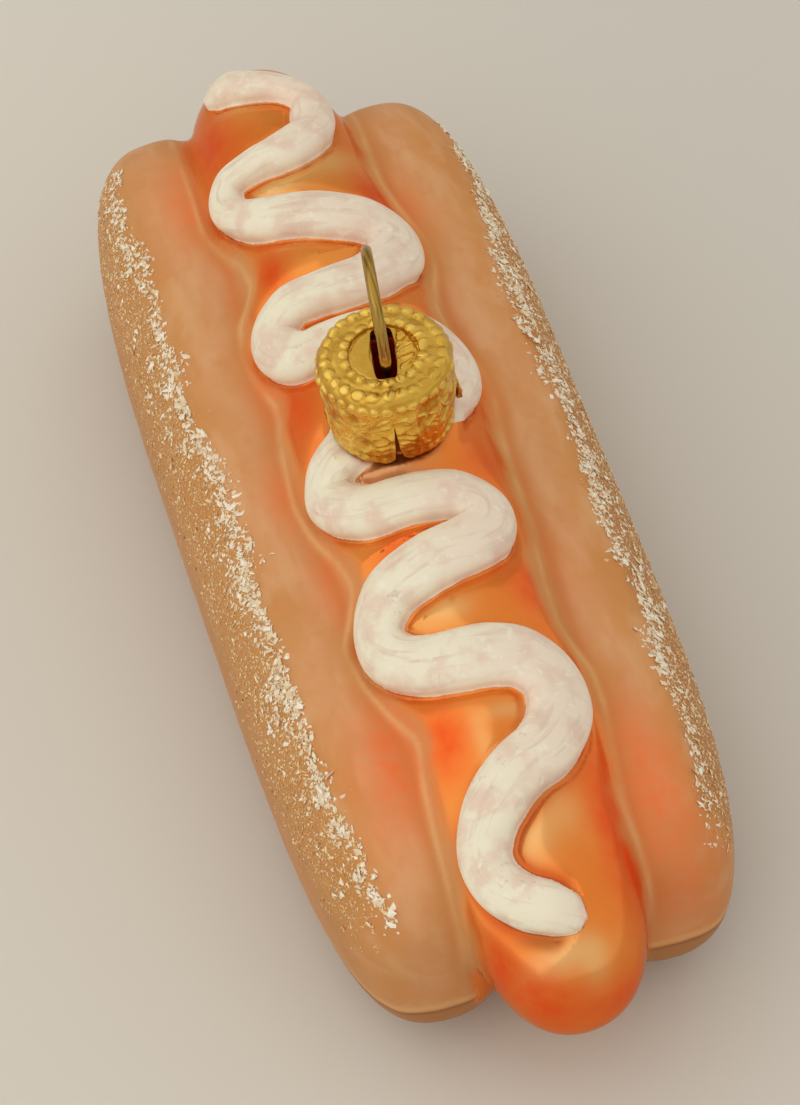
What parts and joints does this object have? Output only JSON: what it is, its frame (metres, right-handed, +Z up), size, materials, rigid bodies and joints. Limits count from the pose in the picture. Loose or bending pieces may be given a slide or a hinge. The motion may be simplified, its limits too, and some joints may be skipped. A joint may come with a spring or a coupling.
{
  "type": "hot dog glass ornament",
  "caption": "Hanging glass ornament shaped as a hot dog: a sausage in a split bun with a raised zig-zag of sauce, a gold crown cap and a wire loop.",
  "frame": {"origin": "on the surface the ornament lies on, under the middle of its length and width", "axes": "+Z up, through the cap; +Y along the bun, from the near end of the picture to the far end; +X to the right of the picture"},
  "size_m": [0.0414, 0.1164, 0.0514],
  "materials": {
    "painted_glass": "silvered inside and painted outside with translucent lacquer: tan pearl bun with a red-orange blush and glitter, orange-red sausage, white sauce bead",
    "gold_cap": "bright gold, thin pressed sheet with beads and leaves in relief",
    "brass_wire": "olive brass wire, satin"
  },
  "bodies": {
    "root": {"glass_body": "painted_glass", "crown_cap": "gold_cap", "hanger_wire": "brass_wire"}
  },
  "joints": []
}
